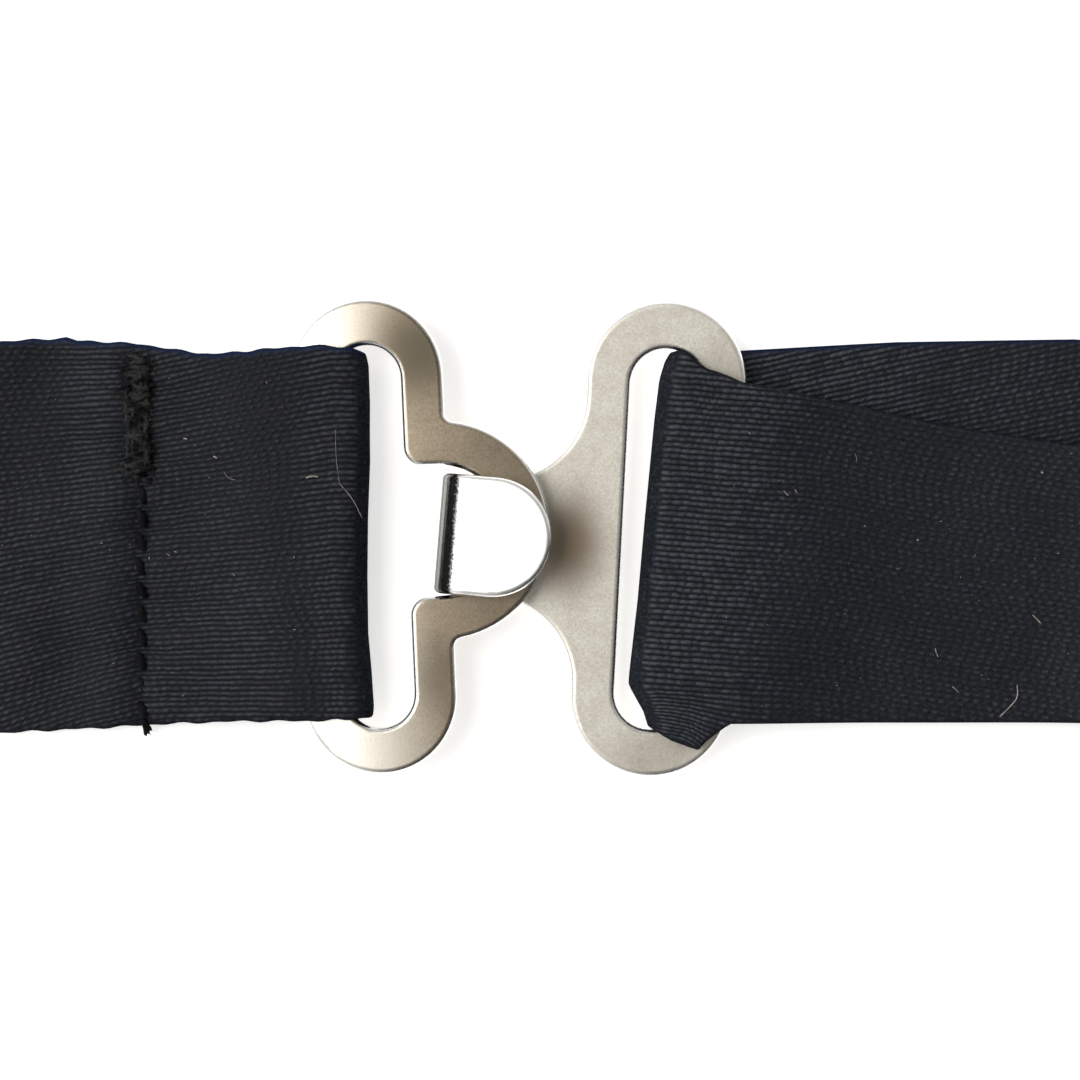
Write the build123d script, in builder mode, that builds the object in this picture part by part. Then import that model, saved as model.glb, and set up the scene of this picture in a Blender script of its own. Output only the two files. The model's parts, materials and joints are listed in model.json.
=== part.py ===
"""Hook-and-eye clasp on a satin strap, with a three-bar adjuster slide.

The clasp lies flat on a table, its face up.
+X runs along the strap from the eye to the hook, +Y across it and +Z up.
The origin is under the middle of the whole part, on the table. All sizes are in millimetres.
"""

import os
from math import cos, radians, sin, tan

from build123d import *

# ---- driving dimensions ----------------------------------------------------------------------

PART_LENGTH = 104.0  # from one strap end to the other

# Satin strap
STRAP_WIDTH = 19.4
STRAP_THICK = 0.6
GAP = 0.2  # between the strap and the metal that it wraps
PLY_GAP = 0.05  # between two plies that lie on each other

# Stamped metal
METAL_THICK = 0.8
METAL_EDGE = 0.3  # rounding of the tumbled edges

# Hook plate: an oval ring, with a neck that rolls back over itself as a tongue
HOOK_CENTRE = (6.2, -0.08)
HOOK_LEAN = -3.0  # turn about Z, in degrees
HOOK_OVAL = (8.35, 24.9)
HOOK_SLOT = (3.8, 19.95)
NECK_WIDTH = 6.25
NECK_FLARE = 4.4  # radius between the neck and the ring
NECK_TURN = -1.6  # turn of the neck against the ring, in degrees
NECK_LENGTH = 7.0
FOLD_POINT = (-9.99, -0.32)  # where the neck starts to roll back, from the ring's centre
HOOK_MOUTH = 1.4  # clear height under the tongue
TONGUE_LENGTH = 4.42  # from the start of the roll to the tip

# Eye ring: an oval ring with a round bump that the hook goes round
EYE_CENTRE = (-8.68, 0.05)
EYE_LEAN = 2.5
EYE_TILT = 4.5  # the bump stands higher than the strap bar, in degrees
EYE_OVAL = (8.06, 24.8)
EYE_SLOT = (3.56, 19.96)
BUMP_CENTRE = (3.51, 0.17)  # from the oval's centre, in the ring's own plane
BUMP_OUTER = 5.75
BUMP_INNER = 3.4
BUMP_CORNER = 0.45
THROAT_CORNER = 1.0
MOUTH_X = -1.6  # where the eye's plane passes through the middle of the hook's mouth

# Left seam: the folded end of the eye strap is sewn under the front ply
SEAM_X = -20.9
FOLDED_END_X = -22.4
STITCH_PITCH = 1.25
STITCH_LENGTH = 0.95
STITCH_RADIUS = 0.16
STITCH_SLANT = 25.0
STITCH_COUNT = 10
BARTACK_SIZE = (1.8, 6.4, 0.4)
BARTACK_Y = 6.3
TAIL_LENGTH = 1.5
TAIL_RADIUS = 0.12

# Adjuster slide: a frame with two windows and a middle bar, on the doubled strap
SLIDE_X = 39.5
SLIDE_SIZE = (13.2, 24.6)
SLIDE_CORNER = 3.4
SLIDE_WINDOW = (3.6, 20.2)
SLIDE_WINDOW_CORNER = 0.6
SLIDE_BAR = 2.0
SLIDE_BOTTOM = 2.05
SLIDE_SEAM = 8.6  # from the middle bar back to the seam
SLIDE_FOLDED_END = 9.8
SLIDE_STITCH_COUNT = 14

# ---- worked out ------------------------------------------------------------------------------

END_X = PART_LENGTH / 2
HALF_PLY = STRAP_THICK / 2
SECOND_PLY = STRAP_THICK + PLY_GAP + HALF_PLY  # middle of a ply that lies on the bottom ply
THIRD_PLY = SECOND_PLY + STRAP_THICK + PLY_GAP
PLATE_BOTTOM = STRAP_THICK + GAP
PLATE_MIDDLE = PLATE_BOTTOM + METAL_THICK / 2
TONGUE_BOTTOM = PLATE_BOTTOM + METAL_THICK + HOOK_MOUTH
MOUTH_MIDDLE = TONGUE_BOTTOM - HOOK_MOUTH / 2
ROLL_RADIUS = HOOK_MOUTH / 2 + METAL_THICK
LOOP_RADIUS = METAL_THICK / 2 + GAP + HALF_PLY  # middle of the strap where it turns round a bar
EYE_Z = MOUTH_MIDDLE - (MOUTH_X - EYE_CENTRE[0]) * tan(radians(EYE_TILT))
SLANT_RUN = 1.0  # extra strap length that is trimmed square at each end


def turned(angle):
    """Unit vector along X after a turn about Z."""
    return Vector(cos(radians(angle)), sin(radians(angle)), 0)


def across(lean):
    """Unit vector across the strap, along the bar of a leaning ring."""
    return turned(lean + 90)


def oval(size):
    """Oval of straight sides and round ends that stands along Y."""
    SlotOverall(size[1], size[0], rotation=90)


def cut_edges(part):
    """The edges where two faces of a part meet at a real corner."""
    found = []
    for edge in part.edges():
        middle = edge.position_at(0.5)
        beside = [face for face in part.faces() if any(edge.is_same(e) for e in face.edges())]
        if len(beside) == 2 and beside[0].normal_at(middle).get_angle(beside[1].normal_at(middle)) > 30:
            found.append(edge)
    return found


# ---- hook plate ------------------------------------------------------------------------------

hook_plane = Plane((HOOK_CENTRE[0], HOOK_CENTRE[1], PLATE_BOTTOM), x_dir=turned(HOOK_LEAN))
neck_lean = HOOK_LEAN + NECK_TURN
fold_point = hook_plane.from_local_coords(Vector(*FOLD_POINT, 0))
fold_section = Plane(fold_point, x_dir=across(neck_lean), z_dir=turned(neck_lean))
fold_axis = Axis(fold_point + Vector(0, 0, ROLL_RADIUS), across(neck_lean))
tongue_rise = TONGUE_BOTTOM - PLATE_BOTTOM
tongue_plane = Plane(fold_point + Vector(0, 0, tongue_rise), x_dir=turned(neck_lean))
neck_place = Location((*FOLD_POINT, 0), (0, 0, NECK_TURN)) * Location((NECK_LENGTH / 2, 0, 0))
half_neck = NECK_WIDTH / 2
tip_x = TONGUE_LENGTH - half_neck

with BuildPart() as hook_plate:
    with BuildSketch(hook_plane):
        oval(HOOK_OVAL)
        with Locations(neck_place):
            Rectangle(NECK_LENGTH, NECK_WIDTH)
        ring_side = [
            v for v in vertices() if abs(v.X + HOOK_OVAL[0] / 2) < 0.01 and abs(v.Y) < NECK_WIDTH
        ]
        fillet(ring_side, NECK_FLARE)
        SlotOverall(HOOK_SLOT[1], HOOK_SLOT[0], rotation=90, mode=Mode.SUBTRACT)
    extrude(amount=METAL_THICK)
    with BuildSketch(fold_section):
        with Locations((0, METAL_THICK / 2)):
            Rectangle(NECK_WIDTH, METAL_THICK)
    revolve(axis=fold_axis, revolution_arc=180)
    with BuildSketch(tongue_plane):
        with BuildLine():
            Polyline((tip_x, -half_neck), (0, -half_neck), (0, half_neck), (tip_x, half_neck))
            ThreePointArc((tip_x, half_neck), (TONGUE_LENGTH, 0), (tip_x, -half_neck))
        make_face()
    extrude(amount=METAL_THICK)
    fillet(cut_edges(hook_plate.part), METAL_EDGE)
hook_plate.part.label = "hook_plate"

# ---- eye ring --------------------------------------------------------------------------------

eye_x_dir = turned(EYE_LEAN) * cos(radians(EYE_TILT)) + Vector(0, 0, sin(radians(EYE_TILT)))
eye_plane = Plane(
    (EYE_CENTRE[0], EYE_CENTRE[1], EYE_Z),
    x_dir=eye_x_dir,
    z_dir=eye_x_dir.cross(across(EYE_LEAN)),
)

with BuildSketch() as eye_opening:
    oval(EYE_SLOT)
    with Locations(BUMP_CENTRE):
        Circle(BUMP_INNER)
    with Locations((BUMP_CENTRE[0] / 2, BUMP_CENTRE[1])):
        Rectangle(BUMP_CENTRE[0], BUMP_INNER * 2)
    slot_side = [v for v in vertices() if abs(v.X - EYE_SLOT[0] / 2) < 0.01 and abs(v.Y) < BUMP_OUTER]
    fillet(slot_side, THROAT_CORNER)

with BuildPart() as eye_ring:
    with BuildSketch(eye_plane):
        oval(EYE_OVAL)
        with Locations(BUMP_CENTRE):
            Circle(BUMP_OUTER)
        ring_side = [
            v for v in vertices() if abs(v.X - EYE_OVAL[0] / 2) < 0.01 and abs(v.Y) < 2 * BUMP_OUTER
        ]
        fillet(ring_side, BUMP_CORNER)
        add(eye_opening.sketch, mode=Mode.SUBTRACT)
    extrude(amount=METAL_THICK / 2, both=True)
    fillet(cut_edges(eye_ring.part), METAL_EDGE)
eye_ring.part.label = "eye_ring"

# ---- eye strap -------------------------------------------------------------------------------

EYE_FOLD = -0.3  # middle of the strap where it passes through the slot, from the slot's middle
EYE_LOOP = -4.1  # where the strap starts to leave the ring


def by_eye(u, w):
    """Point of the strap's path, given along and above the tilted eye ring."""
    tilt = radians(EYE_TILT)
    return (EYE_CENTRE[0] + u * cos(tilt) - w * sin(tilt), EYE_Z + u * sin(tilt) + w * cos(tilt))


with BuildPart() as eye_strap:
    with BuildSketch(Plane.XZ.offset(-EYE_CENTRE[1])):
        with BuildLine():
            FilletPolyline(
                (FOLDED_END_X, HALF_PLY),
                (-14.7, HALF_PLY),
                by_eye(EYE_LOOP, -LOOP_RADIUS),
                by_eye(EYE_FOLD - LOOP_RADIUS, -LOOP_RADIUS),
                radius=3.0,
            )
            ThreePointArc(
                by_eye(EYE_FOLD - LOOP_RADIUS, -LOOP_RADIUS),
                by_eye(EYE_FOLD, 0),
                by_eye(EYE_FOLD - LOOP_RADIUS, LOOP_RADIUS),
            )
            FilletPolyline(
                by_eye(EYE_FOLD - LOOP_RADIUS, LOOP_RADIUS),
                by_eye(EYE_LOOP, LOOP_RADIUS),
                (-17.4, SECOND_PLY),
                (FOLDED_END_X - 0.6, SECOND_PLY),
                (FOLDED_END_X - 2.6, HALF_PLY),
                (-END_X - SLANT_RUN, HALF_PLY),
                radius=1.4,
            )
        trace(line_width=STRAP_THICK)
    extrude(amount=STRAP_WIDTH / 2, dir=across(EYE_LEAN), both=True)
    split(bisect_by=Plane.YZ.offset(-END_X), keep=Keep.TOP)
eye_strap.part.label = "eye_strap"

# ---- left seam -------------------------------------------------------------------------------

seam_top = SECOND_PLY + HALF_PLY
stitch_start = BARTACK_Y - BARTACK_SIZE[1] / 2 - STITCH_PITCH * 0.7

with BuildPart() as eye_seam_stitches:
    for number in range(STITCH_COUNT):
        stitch_y = stitch_start - number * STITCH_PITCH
        with Locations((SEAM_X, stitch_y, seam_top)):
            Cylinder(STITCH_RADIUS, STITCH_LENGTH, rotation=(90, 0, STITCH_SLANT))
eye_seam_stitches.part.label = "eye_seam_stitches"

with BuildPart() as eye_seam_bartack:
    with Locations((SEAM_X - 0.2, BARTACK_Y, seam_top + BARTACK_SIZE[2] / 2)):
        Box(*BARTACK_SIZE)
    fillet(eye_seam_bartack.edges().filter_by(Axis.Y).group_by(Axis.Z)[-1], 0.25)
eye_seam_bartack.part.label = "eye_seam_bartack"

with BuildPart() as eye_seam_thread_tail:
    with Locations((SEAM_X + 0.1, -STRAP_WIDTH / 2 - 0.35, seam_top + TAIL_RADIUS)):
        Cylinder(TAIL_RADIUS, TAIL_LENGTH, rotation=(90, 0, 12))
eye_seam_thread_tail.part.label = "eye_seam_thread_tail"

# ---- hook strap ------------------------------------------------------------------------------

HOOK_FOLD = -0.7  # middle of the strap where it passes through the slot, from the slot's middle
WRAP_RADIUS = 1.45  # middle of the strap round the slide's bar
OVER_BAR = HALF_PLY + 2 * WRAP_RADIUS
turn_x = HOOK_CENTRE[0] + HOOK_FOLD + LOOP_RADIUS
plate_over = PLATE_MIDDLE + LOOP_RADIUS
wrap_x = SLIDE_X + 0.75
over_wrap = OVER_BAR + STRAP_THICK + PLY_GAP

# Upper edge of the front ply, which drops away from the back ply and comes back at the slide
FRONT_EDGE = [(6.5, 9.9), (8.4, 9.2), (9.6, 8.9), (10.6, 8.1), (28.2, 4.9), (29.4, 5.0)]
FRONT_RETURN = [(29.4, 5.0), (31.2, 6.4), (34.6, 9.9)]

with BuildPart() as hook_strap:
    with BuildSketch(Plane.XZ.offset(-HOOK_CENTRE[1])):
        with BuildLine():
            FilletPolyline(
                (SLIDE_X - SLIDE_FOLDED_END, SECOND_PLY),
                (SLIDE_X - 3.9, SECOND_PLY),
                (SLIDE_X - 1.2, OVER_BAR),
                (wrap_x, OVER_BAR),
                radius=0.9,
            )
            ThreePointArc(
                (wrap_x, OVER_BAR),
                (wrap_x + WRAP_RADIUS, HALF_PLY + WRAP_RADIUS),
                (wrap_x, HALF_PLY),
            )
            Line((wrap_x, HALF_PLY), (turn_x, HALF_PLY))
            ThreePointArc(
                (turn_x, HALF_PLY),
                (turn_x - LOOP_RADIUS, PLATE_MIDDLE),
                (turn_x, plate_over),
            )
            FilletPolyline(
                (turn_x, plate_over),
                (11.4, plate_over),
                (18.5, SECOND_PLY),
                (SLIDE_X - SLIDE_FOLDED_END - 1.8, SECOND_PLY),
                (SLIDE_X - SLIDE_FOLDED_END, THIRD_PLY),
                (SLIDE_X - 4.2, THIRD_PLY),
                (SLIDE_X - 2.0, over_wrap),
                (SLIDE_X + 2.2, over_wrap),
                (SLIDE_X + 4.4, 0.8),
                (SLIDE_X + 7.4, HALF_PLY),
                (END_X + SLANT_RUN, HALF_PLY),
                radius=0.8,
            )
        trace(line_width=STRAP_THICK)
    extrude(amount=STRAP_WIDTH / 2, dir=across(HOOK_LEAN), both=True)
    split(bisect_by=Plane.YZ.offset(END_X), keep=Keep.BOTTOM)
    for edge, ply_under in ((FRONT_EDGE, HALF_PLY), (FRONT_RETURN, SECOND_PLY)):
        with BuildSketch(Plane.XY.offset(ply_under + HALF_PLY + PLY_GAP / 2)):
            with BuildLine():
                Polyline(*edge, (edge[-1][0], STRAP_WIDTH), (edge[0][0], STRAP_WIDTH), close=True)
            make_face()
        extrude(amount=over_wrap, mode=Mode.SUBTRACT)
hook_strap.part.label = "hook_strap"

# ---- adjuster slide --------------------------------------------------------------------------

slide_plane = Plane((SLIDE_X, HOOK_CENTRE[1], SLIDE_BOTTOM), x_dir=turned(HOOK_LEAN))
window_x = (SLIDE_BAR + SLIDE_WINDOW[0]) / 2

with BuildPart() as adjuster_slide:
    with BuildSketch(slide_plane):
        RectangleRounded(*SLIDE_SIZE, SLIDE_CORNER)
        with Locations((-window_x, 0), (window_x, 0)):
            RectangleRounded(*SLIDE_WINDOW, SLIDE_WINDOW_CORNER, mode=Mode.SUBTRACT)
    extrude(amount=METAL_THICK)
    fillet(cut_edges(adjuster_slide.part), METAL_EDGE)
adjuster_slide.part.label = "adjuster_slide"

# The stitches lie sunk in the folded end, under the front ply.
with BuildPart() as slide_seam_stitches:
    for number in range(SLIDE_STITCH_COUNT):
        stitch_y = (number - (SLIDE_STITCH_COUNT - 1) / 2) * STITCH_PITCH
        with Locations((SLIDE_X - SLIDE_SEAM, stitch_y, seam_top - STITCH_RADIUS + 0.02)):
            Cylinder(STITCH_RADIUS, STITCH_LENGTH, rotation=(90, 0, STITCH_SLANT))
slide_seam_stitches.part.label = "slide_seam_stitches"

# ---- export ----------------------------------------------------------------------------------


def write(part, node):
    """Writes one node's STEP file."""
    export_step(part, "parts/" + node + ".step")


os.makedirs("parts", exist_ok=True)
write(hook_plate.part, "hook_plate")
write(eye_ring.part, "eye_ring")
write(eye_strap.part, "eye_strap")
write(eye_seam_stitches.part, "eye_seam_stitches")
write(eye_seam_bartack.part, "eye_seam_bartack")
write(eye_seam_thread_tail.part, "eye_seam_thread_tail")
write(hook_strap.part, "hook_strap")
write(adjuster_slide.part, "adjuster_slide")
write(slide_seam_stitches.part, "slide_seam_stitches")
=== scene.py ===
"""Looks of the hook-and-eye strap clasp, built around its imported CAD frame.

Shapes are worked out in millimetres, in the frame's own axes, and MM turns them into metres as
each mesh is made. The metal pieces are the frame's own meshes with new materials. The cloth and
the thread are built here, where the CAD has plain solids.
"""

import json
from math import cos, pi, radians, sin

import bpy
import numpy as np
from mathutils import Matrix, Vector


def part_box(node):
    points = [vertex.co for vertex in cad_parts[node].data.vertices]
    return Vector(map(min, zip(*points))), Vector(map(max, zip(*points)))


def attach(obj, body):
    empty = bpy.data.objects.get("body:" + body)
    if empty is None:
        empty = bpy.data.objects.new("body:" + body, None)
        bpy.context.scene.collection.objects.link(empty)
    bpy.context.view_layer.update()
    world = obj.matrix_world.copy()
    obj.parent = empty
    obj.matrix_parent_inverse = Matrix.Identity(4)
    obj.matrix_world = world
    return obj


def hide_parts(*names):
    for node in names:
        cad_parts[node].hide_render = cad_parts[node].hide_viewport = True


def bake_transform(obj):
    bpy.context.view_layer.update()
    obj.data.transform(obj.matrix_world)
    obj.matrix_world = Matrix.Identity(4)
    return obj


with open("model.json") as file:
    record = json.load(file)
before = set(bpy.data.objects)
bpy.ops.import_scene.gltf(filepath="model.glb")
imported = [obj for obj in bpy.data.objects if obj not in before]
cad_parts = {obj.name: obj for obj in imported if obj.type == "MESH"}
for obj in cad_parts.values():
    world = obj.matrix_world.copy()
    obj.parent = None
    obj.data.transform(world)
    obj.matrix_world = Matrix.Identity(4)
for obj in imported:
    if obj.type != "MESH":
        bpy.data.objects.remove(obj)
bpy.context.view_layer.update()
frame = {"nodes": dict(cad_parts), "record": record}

MM = 0.001
JOINTS = {joint["name"]: joint for joint in frame["record"]["behaviour"]["joints"]}

# Cloth
HALF_CLOTH = 0.28  # half its thickness
THIN_EDGE = 0.02  # half the thickness that is left at a side edge
CLOTH_STEP = 0.3  # between the stations along a strap
EDGE_ROUND = 0.3  # the side edges are rounded over this width
STRAP_WIDTH = 19.4
TABLE_GAP = 0.01  # the lowest cloth stays this far above the table
NO_SELVEDGE = 9.0  # distance given where no selvedge is near

# Weave
RIB_PITCH = 0.3  # from one row to the next
FLOAT_LENGTH = 0.5  # from one float, or raised stretch of thread, to the next in its row
ROW_STEP = 0.38  # how far each row's floats are shifted, in float lengths

# Places, read from the frame
EYE_BAR = [v / MM for v in JOINTS["left_strap_swing"]["pos_m"]]
HOOK_BAR = [v / MM for v in JOINTS["right_strap_swing"]["pos_m"]]
EYE_AXIS = JOINTS["left_strap_swing"]["axis"]
HOOK_AXIS = JOINTS["right_strap_swing"]["axis"]


def box_mm(node):
    """Lowest and highest corners of a CAD node, in millimetres."""
    return [[v / MM for v in corner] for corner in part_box(node)]


SEAM_LOW, SEAM_HIGH = box_mm("eye_seam_stitches")
SEAM_X = (SEAM_LOW[0] + SEAM_HIGH[0]) / 2
TACK_LOW, TACK_HIGH = box_mm("eye_seam_bartack")
LEFT_END = box_mm("eye_strap")[0][0]
RIGHT_END = box_mm("hook_strap")[1][0]
SLIDE_LOW, SLIDE_HIGH = box_mm("adjuster_slide")
SLIDE_X = (SLIDE_LOW[0] + SLIDE_HIGH[0]) / 2
SPLIT_X = 20.0  # where the right strap's loop ends and its tails start
SPLIT_HEIGHT = 0.98  # of the front ply there

# Heights and radii of the cloth's middle
PLY = 0.3  # bottom ply
SECOND_PLY = 0.95  # ply that lies on it
LOOP_RADIUS = 0.9  # round a ring's bar
EYE_TILT = radians(4.5)  # the ring's lean, as its bump lies on the plate's neck

# Sewing
STITCH_PITCH = 1.25
STITCH_LENGTH = 0.95
STITCH_RADIUS = 0.21
FIRST_STITCH = 0.45  # from the row's upper end to the middle of its first stitch
LEFT_SEAM_HEIGHT = 1.12
SLIDE_SEAM_HEIGHT = 1.26
TACK_WAIST = 5.7  # the tack is two lumps of thread that meet here


# ---- camera, floor and light -----------------------------------------------------------------


def make_camera():
    """Looks straight down, and frames the clasp and the first part of each strap."""
    view_width = 56.5 * MM
    view_middle = -0.13 * MM
    lens, sensor = 100.0, 36.0
    top_of_clasp = 1.5 * MM
    data = bpy.data.cameras.new("camera")
    data.lens = lens
    data.sensor_width = sensor
    data.clip_start = 0.005
    camera = bpy.data.objects.new("camera", data)
    camera.location = (0, view_middle, top_of_clasp + view_width * lens / sensor)
    bpy.context.collection.objects.link(camera)
    bpy.context.scene.camera = camera


def make_floor():
    """Plain white table top, a little self-lit like a light table, so that shadows on it stay faint."""
    half = 1.2
    mesh = bpy.data.meshes.new("floor")
    corners = [(-half, -half, 0), (half, -half, 0), (half, half, 0), (-half, half, 0)]
    mesh.from_pydata(corners, [], [(0, 1, 2, 3)])
    floor = bpy.data.objects.new("floor", mesh)
    bpy.context.collection.objects.link(floor)
    material = bpy.data.materials.new("floor_white")
    material.use_nodes = True
    shader = material.node_tree.nodes["Principled BSDF"]
    shader.inputs["Base Color"].default_value = (0.9, 0.9, 0.9, 1)
    shader.inputs["Roughness"].default_value = 0.9
    shader.inputs["Specular IOR Level"].default_value = 0.0
    shader.inputs["Emission Color"].default_value = (1, 1, 1, 1)
    shader.inputs["Emission Strength"].default_value = 0.6
    mesh.materials.append(material)


def area_light(name, place, size, power, colour):
    """Square soft light that points at the clasp."""
    data = bpy.data.lights.new(name, "AREA")
    data.size = size
    data.energy = power
    data.color = colour
    light = bpy.data.objects.new(name, data)
    light.location = place
    light.rotation_euler = (-light.location).to_track_quat("-Z", "Y").to_euler()
    bpy.context.collection.objects.link(light)


TENT_SIDE, TENT_SHOULDER, TENT_TOP = (1.0, 1.0, 1.0, 1), (0.6, 0.6, 0.6, 1), (0.3, 0.28, 0.25, 1)
TENT_POWER = 0.9
OPENING = (0.62, -0.72, 0.3)  # direction of the tent's dark opening
OPENING_FALL = (0.45, 0.8, 1.0, 0.1)  # cosines where it starts and is full, brightness at each


def make_world():
    """White tent, darker overhead where the camera looks in, with its opening low on one side."""
    world = bpy.data.worlds.new("tent")
    bpy.context.scene.world = world
    world.use_nodes = True
    nodes, links = world.node_tree.nodes, world.node_tree.links
    place = nodes.new("ShaderNodeTexCoord")
    split = nodes.new("ShaderNodeSeparateXYZ")
    ramp = nodes.new("ShaderNodeValToRGB")
    ramp.color_ramp.elements[0].color = TENT_SIDE
    ramp.color_ramp.elements[1].color = TENT_TOP
    ramp.color_ramp.elements.new(0.6).color = TENT_SHOULDER
    links.new(place.outputs["Generated"], split.inputs[0])
    links.new(split.outputs["Z"], ramp.inputs["Fac"])
    towards = nodes.new("ShaderNodeVectorMath")
    towards.operation = "DOT_PRODUCT"
    towards.inputs[1].default_value = OPENING
    links.new(place.outputs["Generated"], towards.inputs[0])
    opening = nodes.new("ShaderNodeMapRange")
    for number, value in enumerate(OPENING_FALL, 1):
        opening.inputs[number].default_value = value
    links.new(towards.outputs["Value"], opening.inputs["Value"])
    links.new(ramp.outputs["Color"], nodes["Background"].inputs["Color"])
    power = nodes.new("ShaderNodeMath")
    power.operation = "MULTIPLY"
    power.inputs[1].default_value = TENT_POWER
    links.new(opening.outputs["Result"], power.inputs[0])
    links.new(power.outputs[0], nodes["Background"].inputs["Strength"])


# ---- materials -------------------------------------------------------------------------------


class Graph:
    """Short way to add and join shader nodes."""

    def __init__(self, name):
        self.material = bpy.data.materials.new(name)
        self.material.use_nodes = True
        self.tree = self.material.node_tree
        self.shader = self.tree.nodes["Principled BSDF"]

    def node(self, kind, inputs=(), **settings):
        """Adds a node. Each input is a number, a colour or another node's output socket."""
        made = self.tree.nodes.new("ShaderNode" + kind)
        for key, value in settings.items():
            setattr(made, key, value)
        for key, value in dict(inputs).items():
            self.join(value, made.inputs[key])
        return made

    def join(self, value, socket):
        """Sets a socket to a constant, or links an output to it."""
        if isinstance(value, bpy.types.NodeSocket):
            self.tree.links.new(value, socket)
        else:
            socket.default_value = value

    def math(self, operation, *values):
        """One Math node's output."""
        return self.node("Math", enumerate(values), operation=operation).outputs[0]

    def ramp(self, value, stops):
        """Colour ramp's output. Each stop is (position, colour)."""
        made = self.node("ValToRGB", {"Fac": value})
        elements = made.color_ramp.elements
        for number, (position, colour) in enumerate(stops):
            element = elements[number] if number < 2 else elements.new(position)
            element.position = position
            element.color = (*colour, 1)
        return made.outputs["Color"]

    def fit(self, value, low, high, to_low, to_high):
        """Map Range's output, kept within its limits."""
        inputs = {"Value": value, "From Min": low, "From Max": high, "To Min": to_low, "To Max": to_high}
        return self.node("MapRange", inputs).outputs[0]

    def noise(self, place, scale, detail):
        """Noise texture's output, between 0 and 1."""
        inputs = {"Vector": place, "Scale": scale, "Detail": detail}
        return self.node("TexNoise", inputs).outputs["Fac"]

    def mix(self, share, first, second):
        """Mixed colour's output."""
        made = self.node("Mix", data_type="RGBA")
        for value, socket in ((share, 0), (first, 6), (second, 7)):
            self.join(value, made.inputs[socket])
        return made.outputs[2]

    def set(self, **inputs):
        """Sets or links the shader's own sockets, with _ for a space in the name."""
        for key, value in inputs.items():
            self.join(value, self.shader.inputs[key.replace("_", " ")])


def weave_floats(g, place, wander):
    """Rows of floats: (how raised a row is, how raised a float is, each float's chance value)."""
    split = g.node("SeparateXYZ", {0: place})
    across = g.math("MULTIPLY_ADD", wander, 0.5 * RIB_PITCH, split.outputs["Y"])
    row = g.math("DIVIDE", across, RIB_PITCH)
    number = g.math("FLOOR", row)
    rib = g.math("POWER", g.math("SINE", g.math("MULTIPLY", g.math("FRACT", row), pi)), 1.5)
    uneven = g.node("TexWhiteNoise", {"W": number}, noise_dimensions="1D").outputs["Value"]
    step = g.math("MULTIPLY_ADD", uneven, 0.9, g.math("MULTIPLY", number, ROW_STEP))
    along = g.math("MULTIPLY_ADD", split.outputs["X"], 1 / FLOAT_LENGTH, step)
    along = g.math("MULTIPLY_ADD", wander, 0.7, along)
    wave = g.math("MULTIPLY_ADD", g.math("COSINE", g.math("MULTIPLY", along, 2 * pi)), 0.5, 0.5)
    place_in_row = g.math("FLOOR", g.math("ADD", along, 0.5))
    each = g.node("CombineXYZ", {"X": place_in_row, "Y": number}).outputs[0]
    chance = g.node("TexWhiteNoise", {"Vector": each}, noise_dimensions="2D").outputs["Value"]
    return rib, wave, chance


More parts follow.
